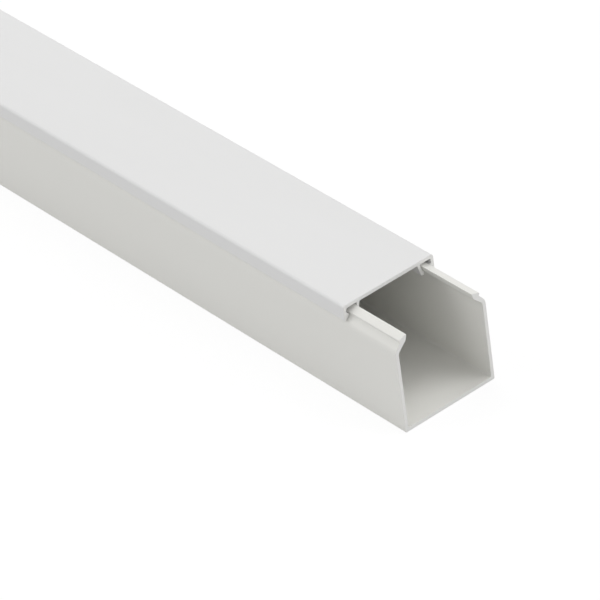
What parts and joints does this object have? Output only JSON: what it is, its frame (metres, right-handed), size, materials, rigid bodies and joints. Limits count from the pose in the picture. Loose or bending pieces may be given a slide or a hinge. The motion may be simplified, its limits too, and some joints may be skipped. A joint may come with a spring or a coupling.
{
  "type": "cable trunking",
  "caption": "Square rigid PVC cable trunking: an open channel with in-bent snap lips and a flat clip-on lid, slid back a little from one end.",
  "frame": {"origin": "middle of the channel's flat back face, half way along its length", "axes": "+X along the length towards the end where the lid is slid back, +Z from the back face towards the lid, Y across the width"},
  "size_m": [2.0255, 0.04, 0.04],
  "materials": {
    "pvc_base": "satin off-white extruded rigid PVC",
    "pvc_lid": "satin off-white extruded rigid PVC"
  },
  "bodies": {
    "base": {"trunking_base": "pvc_base"},
    "lid": {"trunking_lid": "pvc_lid"}
  },
  "joints": [
    {"name": "lid_slide", "type": "slide", "parent": "base", "child": "lid", "axis": [1, 0, 0], "range_m": [-1.9345, 0.0255]}
  ]
}
